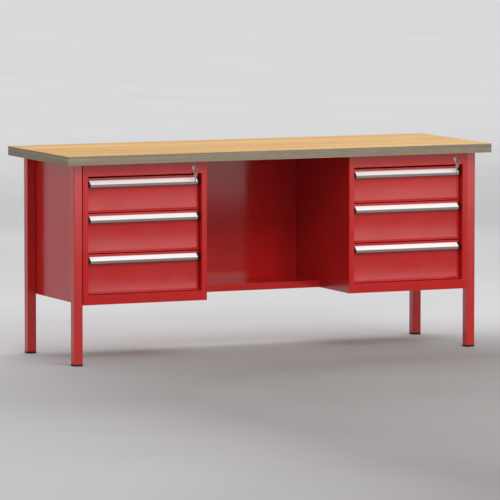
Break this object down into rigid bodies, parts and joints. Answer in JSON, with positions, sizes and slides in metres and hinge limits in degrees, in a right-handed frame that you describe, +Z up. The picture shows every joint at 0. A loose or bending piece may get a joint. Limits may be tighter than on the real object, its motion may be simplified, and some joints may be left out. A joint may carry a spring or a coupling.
{
  "type": "workbench with drawers",
  "caption": "Steel workbench with a thick beech top, two lockable drawer housings, a knee space with a half-depth shelf, and square legs.",
  "frame": {"origin": "on the floor, under the centre of the worktop", "axes": "+X along the worktop to the user's right, +Y to the back, +Z up; the drawers open towards -Y"},
  "size_m": [2, 0.7, 0.9],
  "materials": {
    "red_paint": "glossy powder coat",
    "grey_paint": "satin powder coat",
    "beech": "oiled multi-ply beech",
    "aluminium": "bright anodised",
    "black_plastic": "moulded",
    "zinc_steel": "zinc plated",
    "nickel": "nickel plated"
  },
  "bodies": {
    "bench": {"worktop": "beech", "worktop_screws": "zinc_steel", "leg_front_left": "red_paint", "leg_front_right": "red_paint", "leg_rear_left": "red_paint", "leg_rear_right": "red_paint", "foot_caps": "black_plastic", "rear_panel": "red_paint", "shelf": "red_paint", "frame_bolts": "zinc_steel", "housing_left": "red_paint", "front_frame_left": "red_paint", "fixed_slides_left": "zinc_steel", "lock_body_left": "nickel", "housing_right": "red_paint", "front_frame_right": "red_paint", "fixed_slides_right": "zinc_steel", "lock_body_right": "nickel"},
    "key_left": {"lock_barrel_left": "nickel", "key_left": "nickel"},
    "locking_bar_left": {"locking_bar_left": "zinc_steel"},
    "drawer_left_bottom": {"drawer_box_left_bottom": "grey_paint", "drawer_front_left_bottom": "red_paint", "handle_left_bottom": "aluminium", "handle_caps_left_bottom": "black_plastic", "drawer_slides_left_bottom": "zinc_steel"},
    "middle_slides_left_bottom": {"middle_slides_left_bottom": "zinc_steel"},
    "drawer_left_middle": {"drawer_box_left_middle": "grey_paint", "drawer_front_left_middle": "red_paint", "handle_left_middle": "aluminium", "handle_caps_left_middle": "black_plastic", "drawer_slides_left_middle": "zinc_steel"},
    "middle_slides_left_middle": {"middle_slides_left_middle": "zinc_steel"},
    "drawer_left_top": {"drawer_box_left_top": "grey_paint", "drawer_front_left_top": "red_paint", "handle_left_top": "aluminium", "handle_caps_left_top": "black_plastic", "drawer_slides_left_top": "zinc_steel"},
    "middle_slides_left_top": {"middle_slides_left_top": "zinc_steel"},
    "key_right": {"lock_barrel_right": "nickel", "key_right": "nickel"},
    "locking_bar_right": {"locking_bar_right": "zinc_steel"},
    "drawer_right_bottom": {"drawer_box_right_bottom": "grey_paint", "drawer_front_right_bottom": "red_paint", "handle_right_bottom": "aluminium", "handle_caps_right_bottom": "black_plastic", "drawer_slides_right_bottom": "zinc_steel"},
    "middle_slides_right_bottom": {"middle_slides_right_bottom": "zinc_steel"},
    "drawer_right_middle": {"drawer_box_right_middle": "grey_paint", "drawer_front_right_middle": "red_paint", "handle_right_middle": "aluminium", "handle_caps_right_middle": "black_plastic", "drawer_slides_right_middle": "zinc_steel"},
    "middle_slides_right_middle": {"middle_slides_right_middle": "zinc_steel"},
    "drawer_right_top": {"drawer_box_right_top": "grey_paint", "drawer_front_right_top": "red_paint", "handle_right_top": "aluminium", "handle_caps_right_top": "black_plastic", "drawer_slides_right_top": "zinc_steel"},
    "middle_slides_right_top": {"middle_slides_right_top": "zinc_steel"}
  },
  "joints": [
    {"name": "key_turn_left", "type": "hinge", "parent": "bench", "child": "key_left", "pos_m": [-0.396, -0.299, 0.831], "axis": [0, 1, 0], "range_deg": [0, 90]},
    {"name": "locking_bar_slide_left", "type": "slide", "parent": "bench", "child": "locking_bar_left", "axis": [0, 0, -1], "range_m": [0, 0.018]},
    {"name": "drawer_slide_left_bottom", "type": "slide", "parent": "bench", "child": "drawer_left_bottom", "axis": [0, -1, 0], "range_m": [0, 0.45]},
    {"name": "middle_slide_left_bottom", "type": "slide", "parent": "bench", "child": "middle_slides_left_bottom", "axis": [0, -1, 0], "range_m": [0, 0.225]},
    {"name": "drawer_slide_left_middle", "type": "slide", "parent": "bench", "child": "drawer_left_middle", "axis": [0, -1, 0], "range_m": [0, 0.45]},
    {"name": "middle_slide_left_middle", "type": "slide", "parent": "bench", "child": "middle_slides_left_middle", "axis": [0, -1, 0], "range_m": [0, 0.225]},
    {"name": "drawer_slide_left_top", "type": "slide", "parent": "bench", "child": "drawer_left_top", "axis": [0, -1, 0], "range_m": [0, 0.45]},
    {"name": "middle_slide_left_top", "type": "slide", "parent": "bench", "child": "middle_slides_left_top", "axis": [0, -1, 0], "range_m": [0, 0.225]},
    {"name": "key_turn_right", "type": "hinge", "parent": "bench", "child": "key_right", "pos_m": [0.851, -0.299, 0.831], "axis": [0, 1, 0], "range_deg": [0, 90]},
    {"name": "locking_bar_slide_right", "type": "slide", "parent": "bench", "child": "locking_bar_right", "axis": [0, 0, -1], "range_m": [0, 0.018]},
    {"name": "drawer_slide_right_bottom", "type": "slide", "parent": "bench", "child": "drawer_right_bottom", "axis": [0, -1, 0], "range_m": [0, 0.45]},
    {"name": "middle_slide_right_bottom", "type": "slide", "parent": "bench", "child": "middle_slides_right_bottom", "axis": [0, -1, 0], "range_m": [0, 0.225]},
    {"name": "drawer_slide_right_middle", "type": "slide", "parent": "bench", "child": "drawer_right_middle", "axis": [0, -1, 0], "range_m": [0, 0.45]},
    {"name": "middle_slide_right_middle", "type": "slide", "parent": "bench", "child": "middle_slides_right_middle", "axis": [0, -1, 0], "range_m": [0, 0.225]},
    {"name": "drawer_slide_right_top", "type": "slide", "parent": "bench", "child": "drawer_right_top", "axis": [0, -1, 0], "range_m": [0, 0.45]},
    {"name": "middle_slide_right_top", "type": "slide", "parent": "bench", "child": "middle_slides_right_top", "axis": [0, -1, 0], "range_m": [0, 0.225]}
  ],
  "couplings": [
    {"joint": "locking_bar_slide_left", "follows": "key_turn_left", "m_per_rad": 0.010804},
    {"joint": "middle_slide_left_bottom", "follows": "drawer_slide_left_bottom", "ratio": 0.5},
    {"joint": "middle_slide_left_middle", "follows": "drawer_slide_left_middle", "ratio": 0.5},
    {"joint": "middle_slide_left_top", "follows": "drawer_slide_left_top", "ratio": 0.5},
    {"joint": "locking_bar_slide_right", "follows": "key_turn_right", "m_per_rad": 0.010804},
    {"joint": "middle_slide_right_bottom", "follows": "drawer_slide_right_bottom", "ratio": 0.5},
    {"joint": "middle_slide_right_middle", "follows": "drawer_slide_right_middle", "ratio": 0.5},
    {"joint": "middle_slide_right_top", "follows": "drawer_slide_right_top", "ratio": 0.5}
  ]
}
